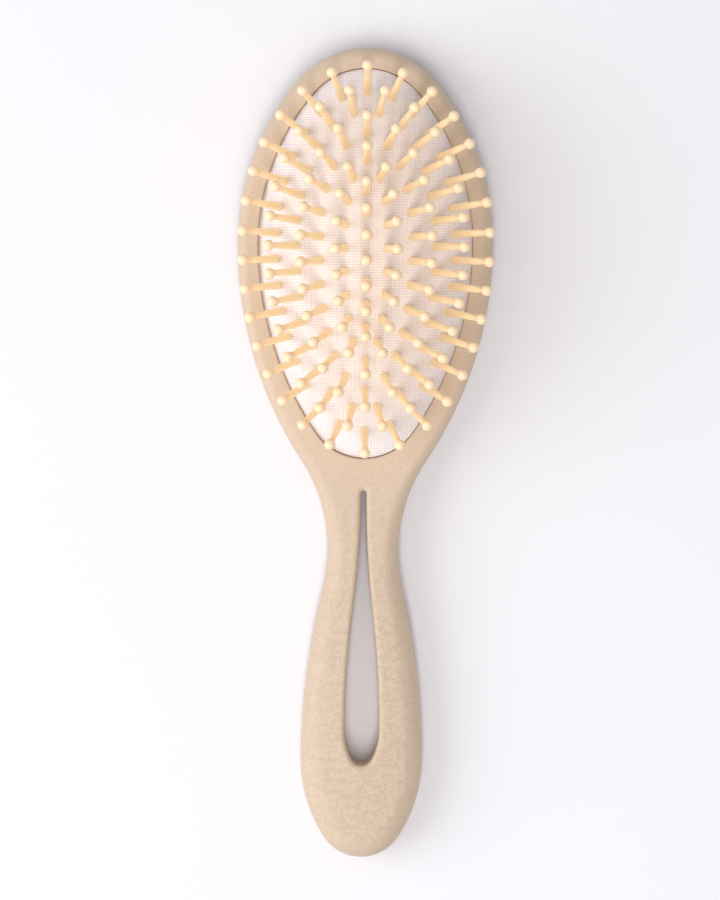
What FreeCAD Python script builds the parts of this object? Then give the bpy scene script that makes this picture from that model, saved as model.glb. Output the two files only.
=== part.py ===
"""Oval detangling brush with a domed cushion, ball-tipped pins and a loop handle.

Two moulded shells close on each other at mid thickness. The back shell's oval wall clamps the flange of a
cloth-faced rubber cushion against the front shell's rim. The pins stand square to the cushion in nested oval
rings, each with a flat head under the cushion.

The brush lies on its back: +Z out through the pins, +Y to the tip of the head, +X to the right. The origin is
under the middle of its length, on the surface that it lies on. Lengths are in millimetres.
"""
import FreeCAD, Part
import math
import os
import re

import Sketcher

SIZES = {
    # Plan of the body
    "brush_length": 225.0,
    "head_width": 70.8,
    "head_top_reach": 54.1,      # tip of the head to its widest line
    "head_top_radius": 24.5,
    "neck_width": 19.7,
    "shoulder_drop": 25.8,       # cushion's lower end to the narrowest line of the neck
    "neck_upper_radius": 45.0,
    "neck_lower_radius": 53.0,
    "handle_width": 33.8,
    "handle_end_reach": 27.3,    # handle's widest line to its end
    "handle_end_radius": 12.5,
    # Thickness of the body
    "body_thickness": 13.0,
    "parting_height": 6.5,       # where the two shells meet
    "front_edge_radius": 3.2,    # round the head
    "grip_edge_radius": 5.8,     # round the front of the handle
    "back_edge_radius": 6.0,
    "seam_land": 0.4,            # upright wall left on each side of the parting line
    "back_wall": 2.5,
    # Opening of the loop handle
    "slot_top_width": 1.4,
    "slot_top_rise": 16.6,       # narrowest line of the neck to the slot's upper end
    "slot_width": 9.6,
    "slot_end_reach": 9.3,       # slot's widest line to its lower end
    "slot_end_wall": 26.1,       # slot's lower end to the handle's end
    "slot_side_radius": 270.0,   # bulge of the slot's sides above its widest line
    "slot_end_radius": 3.2,
    "slot_edge_radius": 1.3,
    # Locating pegs between the shells
    "peg_diameter": 4.0,
    "peg_height": 3.4,
    "peg_clearance": 0.1,
    "shoulder_peg_spacing": 13.0,
    "shoulder_peg_rise": 14.0,   # above the narrowest line of the neck
    "grip_peg_spacing": 17.0,
    "grip_peg_drop": 25.0,       # below the narrowest line of the neck
    "end_peg_wall": 13.0,        # handle's end to the last peg
    # Cushion and the rim that holds it
    "rim_width": 5.95,
    "rim_lip": 1.9,              # thickness of the rim over the cushion's flange
    "rim_inner_radius": 0.5,
    "lip_gap": 0.25,             # rim to the foot of the dome
    "pad_lower_reach": 59.2,     # head's widest line to the cushion's lower end
    "pad_foot_radius": 16.0,
    "dome_overhang": 0.8,        # the dome is cut off this far inside its own foot
    "cushion_rise": 10.5,
    "cushion_thickness": 2.0,
    "flange_width": 3.0,
    "flange_clearance": 0.2,
    "clamp_wall": 4.0,           # thickness of the oval wall under the flange
    "vent_diameter": 1.2,
    "vent_drop": 36.2,           # head's widest line to the vent hole
    # Pins
    "pin_length": 20.0,          # from the cushion to the tip
    "pin_base_diameter": 2.5,
    "pin_neck_diameter": 1.6,
    "pin_ball_diameter": 3.1,
    "pin_head_diameter": 4.4,
    "pin_head_thickness": 0.8,
    "pin_clearance": 0.06,
    "pin_seat_gap": 0.12,
    "pin_side_count": 6,
}

# Each ring's name, pin count, whether pins stand on the centre line, groups down each side, and its half
# width, upper reach and lower reach as shares of the cushion's own.
RING_SHARES = [
    ("edge", 32, True, 5, 0.834, 0.870, 0.873),
    ("outer", 28, False, 4, 0.651, 0.756, 0.770),
    ("middle", 24, True, 3, 0.431, 0.621, 0.677),
    ("inner", 18, True, 3, 0.200, 0.471, 0.541),
    ("centre", 7, True, 0, 0.0, 0.299, 0.385),
]

# Most that a waist or a bulge may take of the room for two arcs that turn into each other.
BLEND_SHARE = 0.6

# Latitudes of the flats that round off a pin's ball, as shares of a quarter turn.
BALL_LATITUDE_SHARES = (-0.28, 0.28, 0.7)

# Faces closer than this count as level with each other.
TOUCHING = 1e-6

HEAD = "(brush_length / 2 - head_top_reach)"
PAD_FOOT = "(%s - pad_lower_reach)" % HEAD
NECK = "(%s - shoulder_drop)" % PAD_FOOT
GRIP = "(handle_end_reach - brush_length / 2)"
PAD_SIDE = "(head_width / 2 - rim_width)"
PAD_TOP = "(head_top_reach - rim_width)"
DOME_SIDE = "(%s + dome_overhang)" % PAD_SIDE
DOME_TOP = "(%s + dome_overhang)" % PAD_TOP
DOME_FOOT = "(pad_lower_reach + dome_overhang)"
FLANGE_TOP = "(body_thickness - rim_lip)"
FLANGE_FOOT = "(%s - cushion_thickness)" % FLANGE_TOP
FRONT_RISE = "(body_thickness - parting_height)"

SLOT_TOP = "(%s + slot_top_rise)" % NECK
SLOT_FOOT = "(slot_end_wall - brush_length / 2)"
SLOT_WIDEST = "(%s + slot_end_reach)" % SLOT_FOOT
SLOT_STEP = "(slot_width / 2 - slot_top_width / 2)"
SLOT_RUN = "(%s - slot_top_width / 2 - %s)" % (SLOT_TOP, SLOT_WIDEST)
SLOT_ROOM = "((%s ^ 2 + %s ^ 2) / (2 * %s))" % (SLOT_STEP, SLOT_RUN, SLOT_STEP)
SLOT_BULGE = "min(slot_side_radius; %s * %s)" % (BLEND_SHARE, SLOT_ROOM)
SLOT_FLARE = "(%s - %s)" % (SLOT_ROOM, SLOT_BULGE)
SLOT_SIDE_AT_NECK = "(slot_top_width / 2 + slot_top_rise ^ 2 / (2 * %s))" % SLOT_FLARE
ARM_AT_NECK = "(neck_width / 2 - %s - slot_edge_radius - seam_land)" % SLOT_SIDE_AT_NECK
FRONT_EDGE_ROOM = "min(%s - seam_land; %s)" % (FRONT_RISE, ARM_AT_NECK)
BACK_EDGE = "min(back_edge_radius; parting_height - seam_land; %s)" % ARM_AT_NECK

document = FreeCAD.newDocument("detangling_brush")
sheet = document.addObject("Spreadsheet::Sheet", "Sizes")


def write_sheet():
    """Put each driving size in a cell of its own, named by an alias."""
    for row, (name, value) in enumerate(SIZES.items(), start=1):
        sheet.set("A%d" % row, name)
        sheet.set("B%d" % row, str(value))
        sheet.setAlias("B%d" % row, name)
    document.recompute()


def amount(expression):
    """The value of an expression in the sheet's sizes."""
    return float(sheet.evalExpression(expression))


def bound(expression):
    """The same expression as other objects write it, with the sheet's name before each size."""
    return re.sub(r"[a-z_]+", lambda word: "Sizes." * (word.group() in SIZES) + word.group(), expression)


def add_sketch(body, name, height):
    """A sketch parallel to the body's XY plane, at a height bound to the sheet."""
    sketch = body.newObject("Sketcher::SketchObject", name)
    plane = next(item for item in body.Origin.OriginFeatures if item.Role == "XY_Plane")
    sketch.AttachmentSupport = (plane, [""])
    sketch.MapMode = "FlatFace"
    sketch.setExpression("AttachmentOffset.Base.z", bound(height))
    return sketch


def bind(sketch, expression, kind, *ends):
    """Add a dimension to a sketch, bound to the sheet."""
    dimension = Sketcher.Constraint(kind, *ends, amount(expression))
    sketch.setExpression("Constraints[%d]" % sketch.addConstraint(dimension), bound(expression))


def hold(sketch, geometry, across, along):
    """Bind the centre of a circle to a place in the sketch, given by two expressions."""
    if across == "0":
        sketch.addConstraint(Sketcher.Constraint("PointOnObject", geometry, 3, -2))
    else:
        bind(sketch, across, "DistanceX", -1, 1, geometry, 3)
    bind(sketch, along, "DistanceY", -1, 1, geometry, 3)


class Arc:
    """One arc of a tangent chain that runs down the right side of the brush."""

    def __init__(self, across, along, radius, bulges):
        self.middle = FreeCAD.Vector(across, along, 0)
        self.radius = radius
        self.upper_end = 2 if bulges else 1
        self.lower_end = 1 if bulges else 2
        self.upper = None
        self.lower = None
        self.index = None

    def towards(self, other):
        """The point of this arc's circle in the direction of another arc's centre, where the two touch."""
        way = other.middle - self.middle
        return self.middle + way.normalize() * self.radius

    def curve(self):
        """The arc, drawn anticlockwise as sketches want it."""
        ends = {self.upper_end: self.upper, self.lower_end: self.lower}
        turns = [math.atan2(ends[end].y - self.middle.y, ends[end].x - self.middle.x) for end in (1, 2)]
        if turns[1] < turns[0]:
            turns[1] += 2 * math.pi
        circle = Part.Circle(self.middle, FreeCAD.Vector(0, 0, 1), self.radius)
        return Part.ArcOfCircle(circle, *turns)


def draw_chain(sketch, arcs):
    """Half of a loop: tangent arcs from the centre line round the right side, closed by that line."""
    for arc in arcs:
        arc.index = sketch.addGeometry(arc.curve(), False)
    for above, below in zip(arcs, arcs[1:]):
        joint = (above.index, above.lower_end, below.index, below.upper_end)
        sketch.addConstraint(Sketcher.Constraint("Tangent", *joint))
    line = sketch.addGeometry(Part.LineSegment(arcs[0].upper, arcs[-1].lower), False)
    sketch.addConstraint(Sketcher.Constraint("Coincident", line, 1, arcs[0].index, arcs[0].upper_end))
    sketch.addConstraint(Sketcher.Constraint("Coincident", line, 2, arcs[-1].index, arcs[-1].lower_end))
    for geometry, point in ((line, 1), (line, 2), (arcs[0].index, 3), (arcs[-1].index, 3)):
        sketch.addConstraint(Sketcher.Constraint("PointOnObject", geometry, point, -2))
    return line


def inside_radius(side, run, end_radius):
    """Radius of the arc, centred on a widest line, that runs into an end arc on the centre line."""
    rise = run - end_radius
    return (side ** 2 + rise ** 2 - end_radius ** 2) / (2 * (side - end_radius))


def waist_radius(step, run, other_radius):
    """Radius of the arc that turns into an opposite arc over a step in width and a run in length."""
    return (step ** 2 + run ** 2) / (2 * step) - other_radius


def blend_text(radius, step, run):
    """An arc's radius as an expression, held to its share of the room over a step and a run."""
    return "min(%s; %s * ((%s)^2 + (%s)^2) / (2 * (%s)))" % (radius, BLEND_SHARE, step, run, step)


def draw_body_half(sketch):
    """Right half of the brush's plan: oval head, waisted neck and bulging handle."""
    upper_text = blend_text("neck_upper_radius", "head_width / 2 - neck_width / 2",
                            "%s - %s" % (HEAD, NECK))
    lower_text = blend_text("neck_lower_radius", "handle_width / 2 - neck_width / 2",
                            "%s - %s" % (NECK, GRIP))
    top, head, neck, grip = (amount(text) for text in ("brush_length / 2", HEAD, NECK, GRIP))
    widths = ("head_width", "neck_width", "handle_width")
    head_side, neck_side, grip_side = (amount(width) / 2 for width in widths)
    tip_radius, end_radius = amount("head_top_radius"), amount("handle_end_radius")
    neck_upper, neck_lower = amount(upper_text), amount(lower_text)
    brow_radius = inside_radius(head_side, top - head, tip_radius)
    flank_radius = waist_radius(head_side - neck_side, head - neck, neck_upper)
    palm_radius = waist_radius(grip_side - neck_side, neck - grip, neck_lower)
    heel_radius = inside_radius(grip_side, grip + top, end_radius)
    tip = Arc(0, top - tip_radius, tip_radius, True)
    brow = Arc(head_side - brow_radius, head, brow_radius, True)
    flank = Arc(head_side - flank_radius, head, flank_radius, True)
    upper_waist = Arc(neck_side + neck_upper, neck, neck_upper, False)
    lower_waist = Arc(neck_side + neck_lower, neck, neck_lower, False)
    palm = Arc(grip_side - palm_radius, grip, palm_radius, True)
    heel = Arc(grip_side - heel_radius, grip, heel_radius, True)
    end = Arc(0, end_radius - top, end_radius, True)
    tip.upper = FreeCAD.Vector(0, top, 0)
    tip.lower = brow.upper = brow.towards(tip)
    brow.lower = flank.upper = FreeCAD.Vector(head_side, head, 0)
    flank.lower = upper_waist.upper = flank.towards(upper_waist)
    upper_waist.lower = lower_waist.upper = FreeCAD.Vector(neck_side, neck, 0)
    lower_waist.lower = palm.upper = palm.towards(lower_waist)
    palm.lower = heel.upper = FreeCAD.Vector(grip_side, grip, 0)
    heel.lower = end.upper = heel.towards(end)
    end.lower = FreeCAD.Vector(0, -top, 0)
    line = draw_chain(sketch, [tip, brow, flank, upper_waist, lower_waist, palm, heel, end])
    bind(sketch, "brush_length / 2", "DistanceY", -1, 1, line, 1)
    bind(sketch, "-brush_length / 2", "DistanceY", -1, 1, line, 2)
    for arc, across, along in ((brow, "head_width / 2", HEAD), (upper_waist, "neck_width / 2", NECK),
                               (palm, "handle_width / 2", GRIP)):
        bind(sketch, across, "DistanceX", -1, 1, arc.index, arc.lower_end)
        bind(sketch, along, "DistanceY", -1, 1, arc.index, arc.lower_end)
        bind(sketch, along, "DistanceY", -1, 1, arc.index, 3)
    for arc, radius in ((tip, "head_top_radius"), (upper_waist, upper_text), (lower_waist, lower_text),
                        (end, "handle_end_radius")):
        bind(sketch, radius, "Radius", arc.index)


def draw_slot_half(sketch):
    """Right half of the loop handle's opening: a long drop, narrow at the neck."""
    top, foot, widest = (amount(text) for text in (SLOT_TOP, SLOT_FOOT, SLOT_WIDEST))
    tip_radius, side = amount("slot_top_width / 2"), amount("slot_width / 2")
    side_radius, end_radius = amount(SLOT_BULGE), amount("slot_end_radius")
    flare_radius = waist_radius(side - tip_radius, top - tip_radius - widest, side_radius)
    heel_radius = inside_radius(side, widest - foot, end_radius)
    tip = Arc(0, top - tip_radius, tip_radius, True)
    flare = Arc(tip_radius + flare_radius, top - tip_radius, flare_radius, False)
    bulge = Arc(side - side_radius, widest, side_radius, True)
    heel = Arc(side - heel_radius, widest, heel_radius, True)
    end = Arc(0, foot + end_radius, end_radius, True)
    tip.upper = FreeCAD.Vector(0, top, 0)
    tip.lower = flare.upper = FreeCAD.Vector(tip_radius, top - tip_radius, 0)
    flare.lower = bulge.upper = bulge.towards(flare)
    bulge.lower = heel.upper = FreeCAD.Vector(side, widest, 0)
    heel.lower = end.upper = heel.towards(end)
    end.lower = FreeCAD.Vector(0, foot, 0)
    line = draw_chain(sketch, [tip, flare, bulge, heel, end])
    bind(sketch, SLOT_TOP, "DistanceY", -1, 1, line, 1)
    bind(sketch, SLOT_FOOT, "DistanceY", -1, 1, line, 2)
    bind(sketch, "%s - slot_top_width / 2" % SLOT_TOP, "DistanceY", -1, 1, flare.index, 3)
    bind(sketch, "slot_width / 2", "DistanceX", -1, 1, bulge.index, bulge.lower_end)
    bind(sketch, SLOT_WIDEST, "DistanceY", -1, 1, bulge.index, bulge.lower_end)
    bind(sketch, SLOT_WIDEST, "DistanceY", -1, 1, bulge.index, 3)
    for arc, radius in ((tip, "slot_top_width / 2"), (bulge, SLOT_BULGE), (end, "slot_end_radius")):
        bind(sketch, radius, "Radius", arc.index)


def oval_arcs(margin):
    """Right half of an oval that runs outside the cushion's dome by a margin: parallel to the rim above, and
    drawn in to a rounded foot below."""
    head, side = amount(HEAD), amount(PAD_SIDE) + margin
    top, foot = head + amount(PAD_TOP) + margin, amount(PAD_FOOT) - margin
    tip_radius = amount("head_top_radius - rim_width") + margin
    foot_radius = amount("pad_foot_radius") + margin
    brow_radius = inside_radius(side, top - head, tip_radius)
    cheek_radius = inside_radius(side, head - foot, foot_radius)
    tip = Arc(0, top - tip_radius, tip_radius, True)
    brow = Arc(side - brow_radius, head, brow_radius, True)
    cheek = Arc(side - cheek_radius, head, cheek_radius, True)
    end = Arc(0, foot + foot_radius, foot_radius, True)
    tip.upper = FreeCAD.Vector(0, top, 0)
    tip.lower = brow.upper = brow.towards(tip)
    brow.lower = cheek.upper = FreeCAD.Vector(side, head, 0)
    cheek.lower = end.upper = cheek.towards(end)
    end.lower = FreeCAD.Vector(0, foot, 0)
    return [tip, brow, cheek, end]


def draw_oval_half(sketch, margin):
    """The same half oval in a sketch, bound to the sheet, with its margin given as an expression."""
    tip, brow, cheek, end = arcs = oval_arcs(amount(margin))
    line = draw_chain(sketch, arcs)
    bind(sketch, "%s + %s + %s" % (HEAD, PAD_TOP, margin), "DistanceY", -1, 1, line, 1)
    bind(sketch, "%s - %s" % (PAD_FOOT, margin), "DistanceY", -1, 1, line, 2)
    bind(sketch, "%s + %s" % (PAD_SIDE, margin), "DistanceX", -1, 1, brow.index, brow.lower_end)
    bind(sketch, HEAD, "DistanceY", -1, 1, brow.index, brow.lower_end)
    bind(sketch, HEAD, "DistanceY", -1, 1, brow.index, 3)
    bind(sketch, "head_top_radius - rim_width + %s" % margin, "Radius", tip.index)
    bind(sketch, "pad_foot_radius + %s" % margin, "Radius", end.index)


def peg_places():
    """Centres of the locating pegs on the right half and on the centre line."""
    return [
        ("shoulder_peg_spacing / 2", NECK + " + shoulder_peg_rise"),
        ("grip_peg_spacing / 2", NECK + " - grip_peg_drop"),
        ("0", "end_peg_wall - brush_length / 2"),
    ]


def draw_pegs(sketch, diameter):
    """A circle at each peg's place."""
    for across, along in peg_places():
        middle = FreeCAD.Vector(amount(across), amount(along), 0)
        index = sketch.addGeometry(Part.Circle(middle, FreeCAD.Vector(0, 0, 1), amount(diameter) / 2), False)
        hold(sketch, index, across, along)
        bind(sketch, diameter, "Diameter", index)


def add_pad(body, sketch, height):
    """Raise a sketch by a height bound to the sheet."""
    pad = body.newObject("PartDesign::Pad", sketch.Name + "_pad")
    pad.Profile = sketch
    pad.setExpression("Length", bound(height))
    sketch.Visibility = False
    document.recompute()
    return pad


def add_pocket(body, sketch, depth, upwards):
    """Cut a sketch into the body by a depth bound to the sheet, and check that it took something away."""
    before = body.Shape.Volume
    pocket = body.newObject("PartDesign::Pocket", sketch.Name + "_pocket")
    pocket.Profile = sketch
    pocket.setExpression("Length", bound(depth))
    pocket.Reversed = upwards
    sketch.Visibility = False
    document.recompute()
    if body.Shape.Volume >= before:
        raise RuntimeError(sketch.Name + " cut nothing")
    return pocket


def level_face(shape, height):
    """The largest flat face at a height."""
    level = [face for face in shape.Faces
             if face.BoundBox.ZLength < TOUCHING and abs(face.BoundBox.ZMax - height) < TOUCHING]
    return max(level, key=lambda face: face.Area)


def edge_number(shape, edge):
    """The number by which a fillet knows an edge of the shape."""
    return next(number for number, other in enumerate(shape.Edges, start=1) if other.isSame(edge))


def loop_at(face, along):
    """The inner loop of a flat face that has a point of the centre line inside its length."""
    loops = [wire for wire in face.Wires if not wire.isSame(face.OuterWire)]
    return next(loop for loop in loops if loop.BoundBox.YMin < along < loop.BoundBox.YMax)


def round_loop(body, name, loop, radius):
    """Round the edges of a loop of the body by a radius bound to the sheet."""
    base = body.Tip
    numbers = [edge_number(body.Shape, edge) for edge in loop.Edges]
    fillet = body.newObject("PartDesign::Fillet", name)
    fillet.Base = (base, ["Edge%d" % number for number in numbers])
    fillet.setExpression("Radius", bound(radius))
    document.recompute()
    return fillet


def front_edge(along):
    """The radius of the front's outer edge at a place along the brush: it grows from the cushion's foot to as
    far below the narrowest line of the neck."""
    growth = min(max((amount(PAD_FOOT) - along) / amount("2 * shoulder_drop"), 0), 1)
    radius = amount("front_edge_radius") + growth * amount("grip_edge_radius - front_edge_radius")
    return min(radius, amount(FRONT_EDGE_ROOM))


def round_front_edge(blank):
    """Round the curved edges on top of the front's right half by a radius that changes along the brush."""
    outline = level_face(blank.Shape, amount("body_thickness")).OuterWire.OrderedEdges
    rows = []
    for edge in outline:
        if edge.Curve.TypeId == "Part::GeomCircle":
            first, last = edge.firstVertex(True).Point, edge.lastVertex(True).Point
            rows.append((edge_number(blank.Shape, edge), front_edge(first.y), front_edge(last.y)))
    fillet = document.addObject("Part::Fillet", "front_rounded")
    fillet.Base = blank
    fillet.Edges = rows
    document.recompute()
    return fillet


def mirror_half(body):
    """Complete a body from its right half."""
    mirror = body.newObject("PartDesign::Mirrored", body.Name + "_mirror")
    plane = next(item for item in body.Origin.OriginFeatures if item.Role == "YZ_Plane")
    mirror.TransformMode = "Whole shape"
    mirror.MirrorPlane = (plane, [""])
    body.Tip = mirror
    document.recompute()
    return mirror


def build_front_shell():
    """Rim, neck and front of the handle, with the ledge that the cushion's flange is clamped to."""
    blank = document.addObject("PartDesign::Body", "front_blank")
    plan = add_sketch(blank, "front_plan", "parting_height")
    draw_body_half(plan)
    add_pad(blank, plan, FRONT_RISE)
    body = document.addObject("PartDesign::Body", "front_shell")
    body.BaseFeature = round_front_edge(blank)
    document.recompute()
    slot = add_sketch(body, "front_slot", "parting_height")
    draw_slot_half(slot)
    add_pocket(body, slot, FRONT_RISE, True)
    opening = add_sketch(body, "front_opening", "parting_height")
    draw_oval_half(opening, "lip_gap")
    add_pocket(body, opening, FRONT_RISE, True)
    ledge = add_sketch(body, "front_ledge", "parting_height")
    draw_oval_half(ledge, "(flange_width + flange_clearance)")
    add_pocket(body, ledge, "%s - parting_height" % FLANGE_TOP, True)
    sockets = add_sketch(body, "front_sockets", "parting_height")
    draw_pegs(sockets, "peg_diameter + 2 * peg_clearance")
    add_pocket(body, sockets, "peg_height + peg_clearance", True)
    mirror_half(body)
    top = amount("body_thickness")
    slot_edge = loop_at(level_face(body.Shape, top), amount(GRIP))
    round_loop(body, "front_slot_edge", slot_edge, "slot_edge_radius")
    rim_edge = loop_at(level_face(body.Shape, top), amount(HEAD))
    round_loop(body, "front_rim_edge", rim_edge, "rim_inner_radius")
    return body


def build_back_shell():
    """Back of the brush: floor, air chamber, the oval wall that clamps the cushion, and the pegs."""
    body = document.addObject("PartDesign::Body", "back_shell")
    plan = add_sketch(body, "back_plan", "0")
    draw_body_half(plan)
    add_pad(body, plan, "parting_height")
    slot = add_sketch(body, "back_slot", "0")
    draw_slot_half(slot)
    add_pocket(body, slot, "parting_height", True)
    clamp = add_sketch(body, "back_clamp", "parting_height")
    draw_oval_half(clamp, "flange_width")
    add_pad(body, clamp, "%s - parting_height" % FLANGE_FOOT)
    pegs = add_sketch(body, "back_pegs", "parting_height")
    draw_pegs(pegs, "peg_diameter")
    add_pad(body, pegs, "peg_height")
    chamber = add_sketch(body, "back_chamber", "back_wall")
    draw_oval_half(chamber, "(flange_width - clamp_wall)")
    add_pocket(body, chamber, "%s - back_wall" % FLANGE_FOOT, True)
    mirror_half(body)
    slot_edge = loop_at(level_face(body.Shape, 0), amount(GRIP))
    round_loop(body, "back_slot_edge", slot_edge, "slot_edge_radius")
    outer_edge = level_face(body.Shape, 0).OuterWire
    round_loop(body, "back_outer_edge", outer_edge, BACK_EDGE)
    return body


def dome_slope(across, along):
    """The dome's rise at a place on the cushion, and its slope across and along the brush."""
    rise, side, run = amount("cushion_rise"), amount(DOME_SIDE), along - amount(HEAD)
    reach = amount(DOME_TOP) if run > 0 else amount(DOME_FOOT)
    height = rise * (1 - (across / side) ** 2 - (run / reach) ** 2)
    return height, -2 * rise * across / side ** 2, -2 * rise * run / reach ** 2


def dome_patch(foot, reach):
    """One end of the dome as a single curved face: a parabola across, swept along a parabola."""
    side, rise = amount(DOME_SIDE), amount("cushion_rise")
    surface = Part.BezierSurface()
    surface.increase(2, 2)
    for column, across, across_drop in ((1, -side, 1), (2, 0, -1), (3, side, 1)):
        for row, along, along_drop in ((1, 0, 0), (2, reach / 2, 0), (3, reach, 1)):
            height = foot + rise * (1 - across_drop - along_drop)
            surface.setPole(column, row, FreeCAD.Vector(across, amount(HEAD) + along, height))
    return surface.toShape()


def oval_prism(margin, foot, height):
    """An upright oval block that runs outside the cushion's dome by a margin."""
    right = [arc.curve().toShape() for arc in oval_arcs(margin)]
    left = [edge.mirror(FreeCAD.Vector(), FreeCAD.Vector(1, 0, 0)) for edge in right]
    face = Part.Face(Part.Wire(Part.__sortEdges__(right + left)))
    face.translate(FreeCAD.Vector(0, 0, foot))
    return face.extrude(FreeCAD.Vector(0, 0, height))


def dome_solid(foot, margin):
    """The space under the dome and above the plane of its foot, cut off by an oval."""
    rise = amount("cushion_rise")
    down = FreeCAD.Vector(0, 0, -rise)
    ends = [dome_patch(foot, reach).extrude(down) for reach in (amount(DOME_TOP), -amount(DOME_FOOT))]
    return ends[0].fuse(ends[1]).common(oval_prism(margin, foot, rise))


def corners(radius, height):
    """The corners of a regular polygon round the pin's axis."""
    count = int(amount("pin_side_count"))
    turns = [2 * math.pi * step / count for step in range(count)]
    return [FreeCAD.Vector(radius * math.cos(turn), radius * math.sin(turn), height) for turn in turns]


def flat_face(points):
    """A flat face with these corners."""
    return Part.Face(Part.makePolygon(points + points[:1]))


def build_pin(seat_depth):
    """A pin on the Z axis, made of flats: a head under the cushion, a tapered stem and a rounded ball tip."""
    head = amount("pin_head_diameter") / 2
    base = amount("pin_base_diameter") / 2
    neck = amount("pin_neck_diameter") / 2
    ball = amount("pin_ball_diameter") / 2
    middle = amount("pin_length") - ball
    levels = [
        corners(head, -seat_depth - amount("pin_head_thickness")),
        corners(head, -seat_depth),
        corners(base, -seat_depth),
        corners(neck, middle - math.sqrt(ball ** 2 - neck ** 2)),
    ]
    for share in BALL_LATITUDE_SHARES:
        latitude = share * math.pi / 2
        levels.append(corners(ball * math.cos(latitude), middle + ball * math.sin(latitude)))
    faces = [flat_face(levels[0][::-1]), flat_face(levels[-1])]
    for lower, upper in zip(levels, levels[1:]):
        for side in range(len(lower)):
            faces.append(flat_face([lower[side - 1], lower[side], upper[side], upper[side - 1]]))
    return Part.Solid(Part.Shell(faces))


def ring_side(half_width, upper, lower, count):
    """Evenly spaced places down the right side of a ring, from its top to its foot."""
    middle = FreeCAD.Vector(0, amount(HEAD), 0)
    top = middle + FreeCAD.Vector(0, upper, 0)
    foot = middle - FreeCAD.Vector(0, lower, 0)
    if half_width == 0:
        return Part.makeLine(top, foot).discretize(Number=count)
    side = middle + FreeCAD.Vector(half_width, 0, 0)
    upper_arc = Part.ArcOfEllipse(Part.Ellipse(top, side, middle), 0, math.pi / 2).toShape()
    lower_arc = Part.ArcOfEllipse(Part.Ellipse(foot, side, middle), 0, math.pi / 2).toShape()
    places = Part.Wire([upper_arc, lower_arc]).discretize(Number=count)
    return sorted(places, key=lambda place: -place.y)


def split_evenly(places, parts):
    """Neighbouring places in a number of groups of about the same size."""
    marks = [round(part * len(places) / parts) for part in range(parts + 1)]
    return [places[first:last] for first, last in zip(marks, marks[1:])]


def pin_groups():
    """Each group of neighbouring pins by its node's name: the places of its pins in plan."""
    groups = {}
    for name, count, on_centre_line, side_groups, width_share, upper_share, lower_share in RING_SHARES:
        half_width = amount(PAD_SIDE) * width_share
        upper = amount(PAD_TOP) * upper_share
        lower = amount("pad_lower_reach") * lower_share
        if side_groups == 0:
            groups["%s_pins" % name] = ring_side(half_width, upper, lower, count)
            continue
        if on_centre_line:
            places = ring_side(half_width, upper, lower, count // 2 + 1)
            groups["%s_pins_top" % name] = places[:1]
            groups["%s_pins_foot" % name] = places[-1:]
            right = places[1:-1]
        else:
            right = ring_side(half_width, upper, lower, count + 1)[1::2]
        for number, members in enumerate(split_evenly(right, side_groups), start=1):
            groups["%s_pins_right_%d" % (name, number)] = members
            groups["%s_pins_left_%d" % (name, number)] = [FreeCAD.Vector(-place.x, place.y, 0)
                                                          for place in members]
    return groups


def pin_stand(place):
    """Where a pin leaves the cushion, and the direction in which it stands."""
    height, across_slope, along_slope = dome_slope(place.x, place.y)
    root = FreeCAD.Vector(place.x, place.y, amount(FLANGE_TOP) + height)
    outward = FreeCAD.Vector(-across_slope, -along_slope, 1).normalize()
    return root, outward


def stood_up(shape, root, outward):
    """A copy of a shape with its Z axis turned to the pin's direction and its origin at the pin's root."""
    copy = shape.copy()
    copy.Placement = FreeCAD.Placement(root, FreeCAD.Rotation(FreeCAD.Vector(0, 0, 1), outward))
    return copy


def add_feature(name, shape):
    """A sub-part made directly from a shape."""
    feature = document.addObject("Part::Feature", name)
    feature.Shape = shape
    feature.Placement = FreeCAD.Placement()
    return feature


def build_pins(groups):
    """One sub-part for each group of pins."""
    features = []
    thickness = amount("cushion_thickness")
    for name, places in groups.items():
        pins = []
        for place in places:
            root, outward = pin_stand(place)
            pin = build_pin(thickness * outward.z + amount("pin_seat_gap"))
            pins.append(stood_up(pin, root, outward))
        features.append(add_feature(name, Part.makeCompound(pins)))
    return features


def build_cushion(groups):
    """The domed cushion with its flange, a hole for each pin and a vent."""
    thickness = amount("cushion_thickness")
    top = amount(FLANGE_TOP)
    foot = amount(FLANGE_FOOT)
    flange = oval_prism(amount("flange_width"), foot, thickness)
    cushion = flange.fuse(dome_solid(top, 0)).cut(dome_solid(foot, -thickness))
    radius = amount("pin_base_diameter / 2 + pin_clearance")
    punch = flat_face(corners(radius, -2 * thickness)).extrude(FreeCAD.Vector(0, 0, 4 * thickness))
    punches = [stood_up(punch, *pin_stand(place)) for places in groups.values() for place in places]
    vent_foot = FreeCAD.Vector(0, amount("%s - vent_drop" % HEAD), foot)
    reach = amount("cushion_rise + 2 * cushion_thickness")
    punches.append(Part.makeCylinder(amount("vent_diameter") / 2, reach, vent_foot))
    return add_feature("cushion_pad", cushion.cut(punches))


def check_and_write(features):
    """Stop if any object failed or any shape is broken, then write each sub-part to its own file."""
    for item in document.Objects:
        if "Invalid" in item.State or "Error" in item.State:
            raise RuntimeError(item.Name + " failed")
    os.makedirs("parts", exist_ok=True)
    for feature in features:
        if feature.Shape.isNull() or not feature.Shape.isValid():
            raise RuntimeError(feature.Label + " has a broken shape")
    for feature in features:
        feature.Shape.exportStep(os.path.join("parts", feature.Label + ".step"))


write_sheet()
pin_plan = pin_groups()
sub_parts = [build_front_shell(), build_back_shell(), build_cushion(pin_plan)]
sub_parts += build_pins(pin_plan)
document.recompute()
check_and_write(sub_parts)
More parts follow.
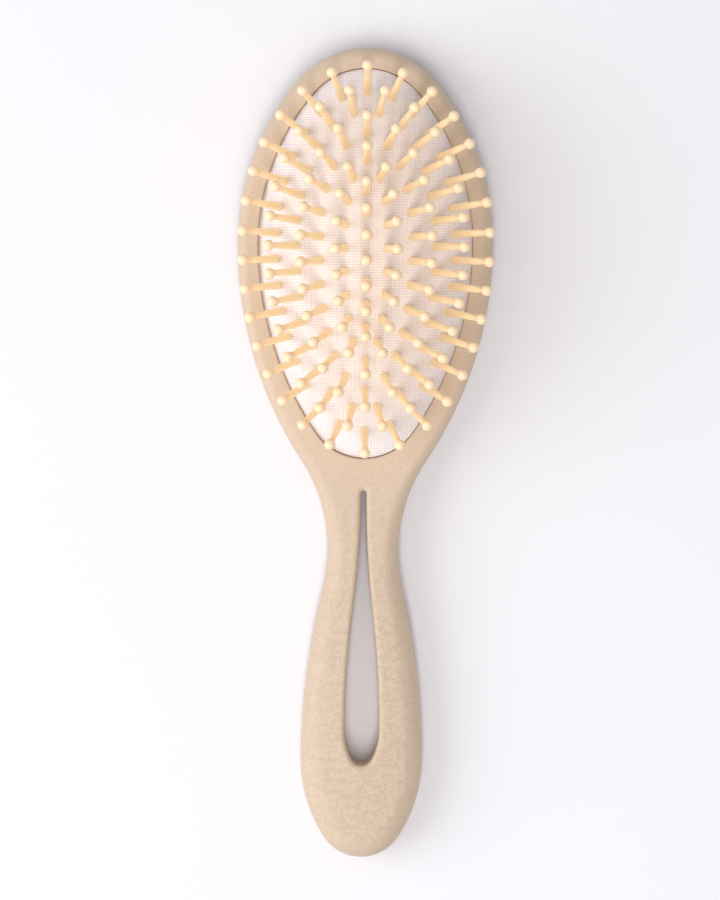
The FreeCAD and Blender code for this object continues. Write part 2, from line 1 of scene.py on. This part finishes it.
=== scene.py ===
"""Looks of the detangling brush: moulded shells, cloth-faced cushion and ball-tipped pins in a small studio.

Everything is in metres in the part's own frame: the brush lies on its back with the pins up, +Y to the tip of
the head and +X to the right.
"""
import math

import bmesh
import bpy
from mathutils import Matrix, Vector
from mathutils.kdtree import KDTree


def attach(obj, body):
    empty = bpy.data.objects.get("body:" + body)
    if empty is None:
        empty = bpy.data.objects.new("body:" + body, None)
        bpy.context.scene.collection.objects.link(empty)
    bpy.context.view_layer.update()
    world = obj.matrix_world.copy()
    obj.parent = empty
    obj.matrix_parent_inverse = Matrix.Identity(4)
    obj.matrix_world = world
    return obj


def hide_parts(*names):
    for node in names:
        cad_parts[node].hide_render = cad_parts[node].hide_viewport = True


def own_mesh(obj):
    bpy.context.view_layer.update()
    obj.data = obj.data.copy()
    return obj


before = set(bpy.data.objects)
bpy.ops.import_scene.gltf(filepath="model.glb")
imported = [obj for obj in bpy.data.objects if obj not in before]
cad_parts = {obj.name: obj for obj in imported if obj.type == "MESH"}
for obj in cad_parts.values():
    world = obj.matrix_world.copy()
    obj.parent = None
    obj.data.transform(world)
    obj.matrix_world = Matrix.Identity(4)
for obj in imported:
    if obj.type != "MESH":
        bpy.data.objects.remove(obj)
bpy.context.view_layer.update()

# Cushion, as in the part's source
HEAD_LINE = 0.0584
PAD_SIDE = 0.02945
PAD_TOP = 0.04815
PAD_FOOT = 0.0592
PAD_TIP_RADIUS = 0.01855
PAD_FOOT_RADIUS = 0.016
DOME_OVERHANG = 0.0008
DOME_RISE = 0.0105
FLANGE_TOP = 0.0111
VENT_PLACE = (0.0, 0.0222)
VENT_DIAMETER = 0.0012

# Pins, as in the part's source
PIN_LENGTH = 0.020
PIN_BASE_RADIUS = 0.00125
PIN_NECK_RADIUS = 0.0008
PIN_BALL_RADIUS = 0.00155
PIN_TIP_FLAT = PIN_LENGTH - PIN_BALL_RADIUS * (1 - math.sin(math.radians(63)))  # the solid's last ring
PIN_FOOT_DEPTH = 0.0012          # how far the stem goes on below the facing
PIN_NECK_DROP = 0.0008           # where the stem's taper ends, below the ball

# Moulding
SEAM_HEIGHT = 0.0065             # where the two shells meet
SHELL_TOP = 0.013
SHARP_EDGE = math.radians(35)
MERGE_DISTANCE = 1e-6
SNAP_DISTANCE = 1e-5

# Crown of the grip's front
CROWN_DROP = 0.0014              # how much lower it is at its sides
CROWN_HALF_WIDTH = 0.0165
CROWN_CUT = 0.0015               # width of the strips that bend
CROWN_START, CROWN_FULL = -0.012, -0.045  # it grows between these places along the brush

# Net pressed into the moulding
NET_PITCH = 0.0013               # between strokes, along the brush
NET_SLOPE = 1.43
NET_BOW = 15.0                   # how much the strokes steepen from left to right
NET_WAVER = 0.0005               # how far a stroke wanders
NET_RISING_SHARE = 0.82          # strength of the strokes that rise to the right; the others have the rest
RIM_FINISH, GRIP_FINISH = 0.02, -0.05  # the net deepens between these places along the brush

# Facing
CLOTH_EASE = 0.00015             # how far the cloth reaches into the gap beside the rim
THREAD_PITCH = 0.00072
FACING_MESH = (288, 56)          # steps round the oval, and from the crown to the rim
DIMPLE_DEPTH = 0.00018
DIMPLE_RADIUS = 0.0016
DIMPLE_REACH = 0.0042
TUCK = ((0.0006, 1.0), (0.0008, 1.03), (0.0008, 0.97))  # drops and growths of the edge under the rim
VENT_DRILL_LENGTH = 0.006
VENT_DRILL_RISE = 0.0005         # middle of the drill above the dome

# Swell of the facing, simulated at a larger scale
SWELL_MESH = (120, 36)
SWELL_SCALE = 10
SWELL_PRESSURE = 16.0
SWELL_FRAMES = 20
SWELL_CAP = 0.00045
SWELL_NEIGHBOURS = 6
PIN_HOLD = 0.0016                # cloth this near to a pin is held by it

# Studio
FLOOR_DROP = 0.0001              # keeps the floor off the flat back
SKY_STRENGTH = 0.5
CAMERA_AIM = Vector((-0.0011, 0.0014, 0.013))
CAMERA_STAND = CAMERA_AIM + Vector((-0.012, 0.05, 1.15))
CAMERA_ROLL = math.radians(0.45)
FRAME_HEIGHT = 0.249             # what the picture's long side spans at the aim
SENSOR = 36.0


def colour(red, green, blue):
    """A screen colour in 0 to 255 as the linear colour that shaders want."""
    def linear(value):
        share = value / 255
        return share / 12.92 if share <= 0.04045 else ((share + 0.055) / 1.055) ** 2.4
    return (linear(red), linear(green), linear(blue), 1.0)


class Nodes:
    """Short ways to add and join shader nodes in one tree."""

    def __init__(self, tree):
        self.tree = tree

    def add(self, kind, **settings):
        node = self.tree.nodes.new(kind)
        for name, value in settings.items():
            setattr(node, name, value)
        return node

    def feed(self, socket, value):
        """Link a socket to another one's output, or set its own value."""
        if isinstance(value, bpy.types.NodeSocket):
            self.tree.links.new(value, socket)
        else:
            socket.default_value = value

    def math(self, operation, *values):
        node = self.add("ShaderNodeMath", operation=operation)
        for socket, value in zip(node.inputs, values):
            self.feed(socket, value)
        return node.outputs[0]

    def smooth(self, value, low, high):
        """0 below low, 1 above high and smooth between."""
        node = self.add("ShaderNodeMapRange", interpolation_type="SMOOTHSTEP")
        self.feed(node.inputs["Value"], value)
        self.feed(node.inputs["From Min"], low)
        self.feed(node.inputs["From Max"], high)
        return node.outputs["Result"]

    def mix(self, share, first, second):
        node = self.add("ShaderNodeMix", data_type="RGBA")
        self.feed(node.inputs["Factor"], share)
        self.feed(node.inputs[6], first)
        self.feed(node.inputs[7], second)
        return node.outputs[2]

    def noise(self, vector, scale, detail=2.0):
        node = self.add("ShaderNodeTexNoise")
        self.feed(node.inputs["Vector"], vector)
        self.feed(node.inputs["Scale"], scale)
        self.feed(node.inputs["Detail"], detail)
        return node.outputs["Fac"]

    def bump(self, height, strength, distance):
        node = self.add("ShaderNodeBump")
        self.feed(node.inputs["Height"], height)
        self.feed(node.inputs["Strength"], strength)
        self.feed(node.inputs["Distance"], distance)
        return node.outputs["Normal"]


def new_group(name, inputs, outputs):
    """An empty shader node group with named value inputs and outputs."""
    tree = bpy.data.node_groups.new(name, "ShaderNodeTree")
    for label, kind in inputs:
        tree.interface.new_socket(name=label, in_out="INPUT", socket_type=kind)
    for label, kind in outputs:
        tree.interface.new_socket(name=label, in_out="OUTPUT", socket_type=kind)
    nodes = Nodes(tree)
    return tree, nodes, nodes.add("NodeGroupInput").outputs, nodes.add("NodeGroupOutput").inputs


def mottle_group():
    """Faint cloudy change of tone that no moulding or cloth is free of."""
    tree, nodes, given, made = new_group(
        "mottle", [("Vector", "NodeSocketVector"), ("Cloud Scale", "NodeSocketFloat"),
                   ("Fleck Scale", "NodeSocketFloat")],
        [("Tone", "NodeSocketFloat"), ("Fleck", "NodeSocketFloat")])
    nodes.feed(made["Tone"], nodes.noise(given["Vector"], given["Cloud Scale"], 3.0))
    nodes.feed(made["Fleck"], nodes.noise(given["Vector"], given["Fleck Scale"], 1.0))
    return tree


def new_material(name):
    material = bpy.data.materials.new(name)
    material.use_nodes = True
    nodes = Nodes(material.node_tree)
    shader = material.node_tree.nodes["Principled BSDF"]
    return material, nodes, shader


def place_mottle(nodes, vector, cloud_scale, fleck_scale):
    group = nodes.add("ShaderNodeGroup", node_tree=mottle)
    nodes.feed(group.inputs["Vector"], vector)
    group.inputs["Cloud Scale"].default_value = cloud_scale
    group.inputs["Fleck Scale"].default_value = fleck_scale
    return group.outputs["Tone"], group.outputs["Fleck"]


def moulded_material():
    """Matt beige plastic with a net of broken strokes pressed into it, plainest on the rim, and a seam;
    painted shade darkens the strokes' grooves and the seam line.
    """
    material, nodes, shader = new_material("beige_moulding")
    spot = nodes.add("ShaderNodeTexCoord").outputs["Object"]
    axes = nodes.add("ShaderNodeSeparateXYZ")
    nodes.feed(axes.inputs[0], spot)
    across, along, height = axes.outputs
    bow = nodes.math("MULTIPLY", nodes.math("MULTIPLY", across, across), NET_BOW)
    waver = nodes.math("MULTIPLY_ADD", nodes.noise(spot, 180.0), NET_WAVER, -NET_WAVER / 2)
    lift = nodes.math("ADD", nodes.math("SUBTRACT", along, bow), waver)
    slant = nodes.math("MULTIPLY", across, NET_SLOPE)
    waves = []
    for line in (nodes.math("SUBTRACT", lift, slant), nodes.math("ADD", lift, slant)):
        waves.append(nodes.math("SINE", nodes.math("MULTIPLY", line, 2 * math.pi / NET_PITCH)))
    rising, falling = waves
    net = nodes.math("ADD", nodes.math("MULTIPLY", rising, NET_RISING_SHARE),
                     nodes.math("MULTIPLY", falling, 1 - NET_RISING_SHARE))
    depth = nodes.math("MULTIPLY_ADD", nodes.smooth(along, RIM_FINISH, GRIP_FINISH), 0.7, 0.3)
    tone, fleck = place_mottle(nodes, spot, 45.0, 2600.0)
    # Strokes stretch on upright walls, so they fade there
    facing = nodes.add("ShaderNodeSeparateXYZ")
    nodes.feed(facing.inputs[0], nodes.add("ShaderNodeNewGeometry").outputs["Normal"])
    level = nodes.smooth(nodes.math("ABSOLUTE", facing.outputs[2]), 0.25, 0.65)
    broken = nodes.math("MULTIPLY_ADD", nodes.smooth(nodes.noise(spot, 700.0), 0.36, 0.64), 0.9, 0.25)
    pressed = nodes.math("MULTIPLY", nodes.math("MULTIPLY", net, depth),
                         nodes.math("MULTIPLY", level, broken))
    from_seam = nodes.math("ABSOLUTE", nodes.math("SUBTRACT", height, SEAM_HEIGHT))
    seam = nodes.smooth(from_seam, 0.00016, 0.00005)
    base = nodes.mix(tone, colour(203, 180, 157), colour(208, 186, 164))
    # Painted shade: the strokes' grooves are coloured darker for the shade that falls in them
    groove_shaded = nodes.mix(nodes.smooth(pressed, -0.1, -0.9), base, colour(199, 176, 153))
    # Painted shade: a thin dark line along the seam stands for the shade in the gap between the two shells
    seam_shaded = nodes.mix(nodes.math("MULTIPLY", seam, 0.6), groove_shaded, colour(150, 122, 98))
    nodes.feed(shader.inputs["Base Color"], seam_shaded)
    nodes.feed(shader.inputs["Roughness"], nodes.math("MULTIPLY_ADD", fleck, 0.14, 0.42))
    shader.inputs["Specular IOR Level"].default_value = 0.4
    sunk = nodes.math("SUBTRACT", nodes.math("MULTIPLY", pressed, 0.7), nodes.math("MULTIPLY", seam, 1.5))
    grainy = nodes.math("ADD", sunk, nodes.math("MULTIPLY", fleck, 0.3))
    nodes.feed(shader.inputs["Normal"], nodes.bump(grainy, 1.0, 0.0001))
    return material


def cloth_material():
    """Pinkish white woven facing: straight threads along and across the brush, and painted shade in the vent
    hole.
    """
    material, nodes, shader = new_material("woven_facing")
    spot = nodes.add("ShaderNodeTexCoord").outputs["Object"]
    weave = nodes.add("ShaderNodeUVMap", uv_map="weave")
    threads = nodes.add("ShaderNodeSeparateXYZ")
    nodes.feed(threads.inputs[0], weave.outputs[0])
    ribs = []
    for way in threads.outputs[:2]:
        ribs.append(nodes.math("ABSOLUTE", nodes.math("SINE", nodes.math("MULTIPLY", way, math.pi))))
    crown = nodes.math("MULTIPLY", ribs[0], ribs[1])
    gap = nodes.smooth(nodes.math("MINIMUM", ribs[0], ribs[1]), 0.62, 0.15)
    tone, fleck = place_mottle(nodes, spot, 60.0, 3000.0)
    base = nodes.mix(tone, colour(242, 237, 237), colour(248, 244, 244))
    woven = nodes.mix(gap, base, colour(226, 212, 214))
    in_plan = nodes.add("ShaderNodeVectorMath", operation="MULTIPLY")
    nodes.feed(in_plan.inputs[0], spot)
    nodes.feed(in_plan.inputs[1], (1.0, 1.0, 0.0))
    from_vent = nodes.add("ShaderNodeVectorMath", operation="DISTANCE")
    nodes.feed(from_vent.inputs[0], in_plan.outputs[0])
    nodes.feed(from_vent.inputs[1], (*VENT_PLACE, 0.0))
    open_vent = nodes.smooth(from_vent.outputs["Value"], VENT_DIAMETER * 0.58, VENT_DIAMETER * 0.42)
    # Painted shade: the vent hole is coloured near black for the dark inside it
    nodes.feed(shader.inputs["Base Color"], nodes.mix(open_vent, woven, colour(16, 12, 10)))
    nodes.feed(shader.inputs["Roughness"], nodes.math("MULTIPLY_ADD", fleck, 0.15, 0.75))
    shader.inputs["Specular IOR Level"].default_value = 0.25
    shader.inputs["Sheen Weight"].default_value = 0.15
    raised = nodes.math("SUBTRACT", crown, nodes.math("MULTIPLY", open_vent, 4.0))
    nodes.feed(shader.inputs["Normal"], nodes.bump(raised, 0.6, 0.00015))
    return material


def pin_material():
    """Warm cream nylon, painted lighter on the stems and darker on the balls for the shade among the pins and
    the light on the balls. A weak painted glow, mostly on the stems, stands for the light that the clear
    nylon carries down its stem.
    """
    material, nodes, shader = new_material("cream_nylon")
    spot = nodes.add("ShaderNodeTexCoord").outputs["Object"]
    reach = nodes.add("ShaderNodeAttribute", attribute_name="reach").outputs["Fac"]
    tone, fleck = place_mottle(nodes, spot, 120.0, 1500.0)
    # Painted light: one nylon, coloured lighter on the stems for the shade among the pins and darker on the
    # balls, which the lamps light most
    stem = nodes.mix(tone, colour(255, 234, 192), colour(255, 238, 200))
    at_ball = nodes.smooth(reach, 0.6, 0.92)
    nodes.feed(shader.inputs["Base Color"], nodes.mix(at_ball, stem, colour(250, 221, 184)))
    # Painted glow, mostly on the stems: light carried down the clear nylon, and a lift against the shade
    # among the pins
    nodes.feed(shader.inputs["Emission Color"], nodes.mix(at_ball, colour(255, 214, 160), colour(60, 42, 26)))
    shader.inputs["Emission Strength"].default_value = 0.14
    nodes.feed(shader.inputs["Roughness"], nodes.math("MULTIPLY_ADD", fleck, 0.12, 0.34))
    shader.inputs["Specular IOR Level"].default_value = 0.4
    nodes.feed(shader.inputs["Normal"], nodes.bump(fleck, 0.08, 0.0001))
    return material


def floor_material():
    """Matt pale paper."""
    material, nodes, shader = new_material("pale_floor")
    spot = nodes.add("ShaderNodeTexCoord").outputs["Object"]
    tone, fleck = place_mottle(nodes, spot, 3.0, 400.0)
    nodes.feed(shader.inputs["Base Color"], nodes.mix(tone, colour(230, 229, 233), colour(234, 233, 237)))
    nodes.feed(shader.inputs["Roughness"], nodes.math("MULTIPLY_ADD", fleck, 0.1, 0.8))
    shader.inputs["Specular IOR Level"].default_value = 0.2
    return material


def new_piece(name, bm, material):
    """An object at the origin with the finished bmesh in it."""
    mesh = bpy.data.meshes.new(name)
    bm.to_mesh(mesh)
    bm.free()
    piece = bpy.data.objects.new(name, mesh)
    bpy.context.scene.collection.objects.link(piece)
    mesh.materials.clear()
    mesh.materials.append(material)
    return piece


def merged_copy(node):
    """A node's mesh in a bmesh of its own, with its loose triangles joined."""
    bm = bmesh.new()
    bm.from_mesh(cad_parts[node].data)
    bmesh.ops.remove_doubles(bm, verts=bm.verts, dist=MERGE_DISTANCE)
    return bm


def crown_grip(bm):
    """Draw the front of the handle into a faint crown, lower towards its sides."""
    cuts = int(CROWN_HALF_WIDTH / CROWN_CUT)
    for step in range(-cuts, cuts + 1):
        bmesh.ops.bisect_plane(bm, geom=bm.verts[:] + bm.edges[:] + bm.faces[:], dist=SNAP_DISTANCE,
                               plane_co=(step * CROWN_CUT, 0, 0), plane_no=(1, 0, 0))
    for corner in bm.verts:
        above = max(0.0, (corner.co.z - SEAM_HEIGHT) / (SHELL_TOP - SEAM_HEIGHT))
        down = max(0.0, min(1.0, (CROWN_START - corner.co.y) / (CROWN_START - CROWN_FULL)))
        ease = down * down * (3 - 2 * down)
        corner.co.z -= CROWN_DROP * above * ease * (corner.co.x / CROWN_HALF_WIDTH) ** 2


def smooth_shell(node, name):
    """A moulded shell with its fillets shaded smooth and its real corners kept sharp."""
    bm = merged_copy(node)
    if node == "front_shell":
        crown_grip(bm)
    for face in bm.faces:
        face.smooth = True
    for edge in bm.edges:
        edge.smooth = len(edge.link_faces) == 2 and edge.calc_face_angle(0.0) < SHARP_EDGE
    piece = new_piece(name, bm, beige)
    weighting = piece.modifiers.new("flat_faces_first", "WEIGHTED_NORMAL")
    weighting.keep_sharp = True
    weighting.weight = 100
    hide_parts(node)
    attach(piece, "shell")
    return piece


def islands(bm):
    """The separate pins in a bmesh, each as a list of its vertices."""
    left = set(bm.verts)
    found = []
    for start in bm.verts:
        if start not in left:
            continue
        left.discard(start)
        group, front = [start], [start]
        while front:
            corner = front.pop()
            for edge in corner.link_edges:
                other = edge.other_vert(corner)
                if other in left:
                    left.discard(other)
                    group.append(other)
                    front.append(other)
        found.append(group)
    return found


def pin_stands(node):
    """Where each pin of a node leaves the cushion, and the direction in which it stands."""
    bm = merged_copy(node)
    stands = []
    for group in islands(bm):
        middle = sum((corner.co for corner in group), Vector()) / len(group)
        outward = Vector((0, 0, 1))
        # Weighed again and again, the direction turns to the pin's long axis
        for _ in range(60):
            arms = [corner.co - middle for corner in group]
            outward = sum((arm * arm.dot(outward) for arm in arms), Vector()).normalized()
        tip = max((corner.co - middle).dot(outward) for corner in group)
        stands.append((middle + outward * (tip - PIN_TIP_FLAT), outward))
    bm.free()
    return sorted(stands, key=lambda stand: tuple(stand[0]))


def pin_shape():
    """One smooth pin on the Z axis, spun from its outline."""
    middle = PIN_LENGTH - PIN_BALL_RADIUS
    neck = -math.acos(PIN_NECK_RADIUS / PIN_BALL_RADIUS)
    neck_height = middle + PIN_BALL_RADIUS * math.sin(neck) - PIN_NECK_DROP
    outline = [(PIN_BASE_RADIUS, -PIN_FOOT_DEPTH), (PIN_NECK_RADIUS, neck_height)]
    for latitude in (neck + 0.12, -0.45, 0.05, 0.6, 1.1):
        outline.append((PIN_BALL_RADIUS * math.cos(latitude), middle + PIN_BALL_RADIUS * math.sin(latitude)))
    outline.append((0.0, PIN_LENGTH))
    bm = bmesh.new()
    corners = [bm.verts.new((radius, 0, height)) for radius, height in outline]
    edges = [bm.edges.new(pair) for pair in zip(corners, corners[1:])]
    bmesh.ops.spin(bm, geom=corners + edges, cent=(0, 0, 0), axis=(0, 0, 1), angle=2 * math.pi, steps=12,
                   use_merge=True)
    bmesh.ops.remove_doubles(bm, verts=bm.verts, dist=MERGE_DISTANCE)
    bmesh.ops.holes_fill(bm, edges=[edge for edge in bm.edges if edge.is_boundary])
    bmesh.ops.recalc_face_normals(bm, faces=bm.faces)
    for face in bm.faces:
        face.smooth = True
    mesh = bpy.data.meshes.new("pin_shape")
    bm.to_mesh(mesh)
    bm.free()
    return mesh


def round_pins(node):
    """The smooth pins of one node."""
    bm = bmesh.new()
    reach = bm.verts.layers.float.new("reach")
    for root, outward in pin_stands(node):
        before = len(bm.verts)
        bm.from_mesh(pin)
        bm.verts.ensure_lookup_table()
        fresh = bm.verts[before:]
        for corner in fresh:
            corner[reach] = corner.co.z / PIN_LENGTH
        turn = Vector((0, 0, 1)).rotation_difference(outward).to_matrix().to_4x4()
        bmesh.ops.transform(bm, matrix=Matrix.Translation(root) @ turn, verts=fresh)
    piece = new_piece("round_" + node, bm, cream)
    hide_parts(node)
    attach(piece, node)
    return piece


def pad_half_width(along):
    """Half the cushion's width at a place along the brush, where a side arc and an end arc meet smoothly."""
    run = along - HEAD_LINE
    reach, end_radius = (PAD_TOP, PAD_TIP_RADIUS) if run > 0 else (PAD_FOOT, PAD_FOOT_RADIUS)
    run = abs(run)
    rise = reach - end_radius
    side_radius = (PAD_SIDE ** 2 + rise ** 2 - end_radius ** 2) / (2 * (PAD_SIDE - end_radius))
    touch = rise * side_radius / (side_radius - end_radius)
    if run < touch:
        return PAD_SIDE - side_radius + math.sqrt(max(side_radius ** 2 - run ** 2, 0))
    return math.sqrt(max(end_radius ** 2 - (run - rise) ** 2, 0))


def dome_height(across, along):
    """The cushion's outer surface over a place in plan."""
    run = along - HEAD_LINE
    reach = (PAD_TOP if run > 0 else PAD_FOOT) + DOME_OVERHANG
    return FLANGE_TOP + DOME_RISE * (1 - (across / (PAD_SIDE + DOME_OVERHANG)) ** 2 - (run / reach) ** 2)


def thread_length(distance, reach):
    """Length of the dome's curve out to a distance from its crown line, so that threads keep their pitch."""
    steep = 2 * DOME_RISE / (reach + DOME_OVERHANG) ** 2 * distance
    if abs(steep) < 1e-9:
        return distance
    return distance * (math.sqrt(1 + steep ** 2) + math.asinh(steep) / steep) / 2


def dome_sheet(around, rings):
    """The cushion's plain dome: half a ball drawn out to the oval and laid on the dome's curve."""
    bm = bmesh.new()
    bmesh.ops.create_uvsphere(bm, u_segments=around, v_segments=rings * 2, radius=1.0)
    bmesh.ops.delete(bm, geom=[corner for corner in bm.verts if corner.co.z < -1e-4], context="VERTS")
    for corner in bm.verts:
        u, v = corner.co.x, max(-1.0, min(1.0, corner.co.y))
        along = HEAD_LINE + v * (PAD_TOP if v > 0 else PAD_FOOT)
        spread = math.sqrt(max(1 - v * v, 0))
        across = u / spread * (pad_half_width(along) + CLOTH_EASE * spread) if spread > 1e-6 else 0.0
        corner.co = (across, along, dome_height(across, along))
    return bm


def swell(roots):
    """How far the facing rises between its pins: cloth over air, held at the rim and at each pin."""
    bm = dome_sheet(*SWELL_MESH)
    rim = {index for index, corner in enumerate(bm.verts) if corner.is_boundary}
    bmesh.ops.scale(bm, vec=(SWELL_SCALE, SWELL_SCALE, SWELL_SCALE), verts=bm.verts)
    sheet = new_piece("swelling_sheet", bm, woven)
    start = [corner.co.copy() for corner in sheet.data.vertices]
    held = sheet.vertex_groups.new(name="held")
    for index, place in enumerate(start):
        nearest = min((place.xy / SWELL_SCALE - root.xy).length for root in roots)
        if index in rim or nearest < PIN_HOLD:
            held.add([index], 1.0, "REPLACE")
    cloth = sheet.modifiers.new("swell", "CLOTH")
    cloth.settings.vertex_group_mass = "held"
    cloth.settings.use_pressure = True
    cloth.settings.uniform_pressure_force = SWELL_PRESSURE
    cloth.settings.effector_weights.gravity = 0.0
    for step in range(SWELL_FRAMES):
        bpy.context.scene.frame_set(step + 1)
    risen = sheet.evaluated_get(bpy.context.evaluated_depsgraph_get()).data.vertices
    tree = KDTree(len(start))
    rises = []
    for index, place in enumerate(start):
        tree.insert((place.x / SWELL_SCALE, place.y / SWELL_SCALE, 0), index)
        rises.append(max(0.0, min(SWELL_CAP, (risen[index].co.z - place.z) / SWELL_SCALE)))
    tree.balance()
    bpy.context.scene.frame_set(1)
    bpy.data.objects.remove(sheet)
    return tree, rises


def drill_vent(piece):
    """Cut the vent hole down into the cushion."""
    bm = bmesh.new()
    bmesh.ops.create_cone(bm, cap_ends=True, segments=24, radius1=VENT_DIAMETER / 2,
                          radius2=VENT_DIAMETER / 2, depth=VENT_DRILL_LENGTH)
    # Half a step of turn keeps the drill's corners off the facing's own lines
    bmesh.ops.rotate(bm, cent=(0, 0, 0), matrix=Matrix.Rotation(math.radians(7.5), 3, "Z"), verts=bm.verts)
    height = dome_height(*VENT_PLACE) + VENT_DRILL_RISE
    bmesh.ops.translate(bm, vec=(*VENT_PLACE, height), verts=bm.verts)
    drill = new_piece("vent_drill", bm, woven)
    cut = piece.modifiers.new("vent", "BOOLEAN")
    cut.operation = "DIFFERENCE"
    cut.solver = "EXACT"
    cut.object = drill
    pierced = bpy.data.meshes.new_from_object(piece.evaluated_get(bpy.context.evaluated_depsgraph_get()))
    bm = bmesh.new()
    bm.from_mesh(pierced)
    bmesh.ops.remove_doubles(bm, verts=bm.verts, dist=SNAP_DISTANCE)
    bm.to_mesh(pierced)
    bm.free()
    piece.modifiers.remove(cut)
    piece.data = pierced
    bpy.data.objects.remove(drill)


def cushion_piece(roots):
    """The domed cushion: swollen between its pins, drawn in at each, tucked under the rim and closed."""
    tree, rises = swell(roots)
    bm = dome_sheet(*FACING_MESH)
    for corner in bm.verts:
        shares = [(index, 1 / (gap + 0.0003) ** 2)
                  for place, index, gap in tree.find_n((corner.co.x, corner.co.y, 0), SWELL_NEIGHBOURS)]
        whole = sum(share for index, share in shares)
        corner.co.z += sum(rises[index] * share for index, share in shares) / whole
    for corner in bm.verts:
        for root in roots:
            near = (corner.co.xy - root.xy).length
            if near < DIMPLE_REACH:
                corner.co.z -= DIMPLE_DEPTH * math.exp(-(near / DIMPLE_RADIUS) ** 2)
    rim = [edge for edge in bm.edges if edge.is_boundary]
    middle = Matrix.Translation((0, -HEAD_LINE, 0))
    for drop, growth in TUCK:
        grown = bmesh.ops.extrude_edge_only(bm, edges=rim)["geom"]
        corners = [item for item in grown if isinstance(item, bmesh.types.BMVert)]
        rim = [item for item in grown if isinstance(item, bmesh.types.BMEdge) and item.is_boundary]
        bmesh.ops.translate(bm, vec=(0, 0, -drop), verts=corners)
        bmesh.ops.scale(bm, vec=(growth, growth, 1), space=middle, verts=corners)
    bmesh.ops.holes_fill(bm, edges=rim)
    bmesh.ops.recalc_face_normals(bm, faces=bm.faces)
    weave = bm.loops.layers.uv.new("weave")
    for face in bm.faces:
        face.smooth = True
        for loop in face.loops:
            across, along = loop.vert.co.x, loop.vert.co.y - HEAD_LINE
            up = thread_length(along, PAD_TOP if along > 0 else PAD_FOOT)
            loop[weave].uv = (thread_length(across, PAD_SIDE) / THREAD_PITCH, up / THREAD_PITCH)
    piece = new_piece("cushion_facing", bm, woven)
    drill_vent(piece)
    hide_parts("cushion_pad")
    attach(piece, "shell")
    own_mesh(piece)
    return piece


def soft_lamp(name, place, across, along, energy, tint):
    """A soft oval lamp that hangs at a place and looks at the brush."""
    lamp = bpy.data.lights.new(name, "AREA")
    lamp.shape = "ELLIPSE"
    lamp.size = across
    lamp.size_y = along
    lamp.energy = energy
    lamp.color = tint
    hung = bpy.data.objects.new(name, lamp)
    bpy.context.scene.collection.objects.link(hung)
    hung.location = place
    hung.rotation_mode = "QUATERNION"
    hung.rotation_quaternion = (-hung.location).to_track_quat("-Z", "Y")


def studio():
    """Pale floor, soft lamps from the left and from overhead, and even light all round."""
    bm = bmesh.new()
    bmesh.ops.create_grid(bm, x_segments=2, y_segments=2, size=3.0)
    bmesh.ops.translate(bm, vec=(0, 0, -FLOOR_DROP), verts=bm.verts)
    new_piece("floor", bm, floor_material())
    world = bpy.data.worlds.new("studio")
    bpy.context.scene.world = world
    world.use_nodes = True
    sky = world.node_tree.nodes["Background"]
    sky.inputs["Color"].default_value = (1.0, 0.99, 1.0, 1.0)
    sky.inputs["Strength"].default_value = SKY_STRENGTH
    soft_lamp("side_lamp", place=(-1.0, -0.1, 0.65), across=1.2, along=1.2, energy=9.5,
              tint=(0.96, 0.98, 1.0))
    # Narrow across the brush, it shines down along the slot
    soft_lamp("overhead_lamp", place=(-0.03, -0.45, 1.65), across=0.42, along=1.0, energy=13.0,
              tint=(1.0, 0.985, 0.965))


def photo_camera():
    """The photograph's viewpoint: nearly overhead, a little towards the tip of the head."""
    lens = bpy.data.cameras.new("photo_camera")
    camera = bpy.data.objects.new("photo_camera", lens)
    bpy.context.scene.collection.objects.link(camera)
    sight = CAMERA_STAND - CAMERA_AIM
    back = sight.normalized()
    right = Vector((-math.sin(CAMERA_ROLL), math.cos(CAMERA_ROLL), 0)).cross(back).normalized()
    up = back.cross(right)
    camera.matrix_world = Matrix.Translation(CAMERA_STAND) @ Matrix((right, up, back)).transposed().to_4x4()
    lens.sensor_width = SENSOR
    lens.lens = SENSOR * sight.length / FRAME_HEIGHT
    lens.clip_start = 0.05
    lens.clip_end = 10.0
    bpy.context.scene.camera = camera


mottle = mottle_group()
beige = moulded_material()
woven = cloth_material()
cream = pin_material()
pin = pin_shape()

smooth_shell("front_shell", "moulded_front")
smooth_shell("back_shell", "moulded_back")
pin_nodes = sorted(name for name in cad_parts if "_pins" in name)
cushion_piece([root for name in pin_nodes for root, outward in pin_stands(name)])
for pin_node in pin_nodes:
    round_pins(pin_node)
studio()
photo_camera()
bpy.context.scene.view_settings.view_transform = "Standard"
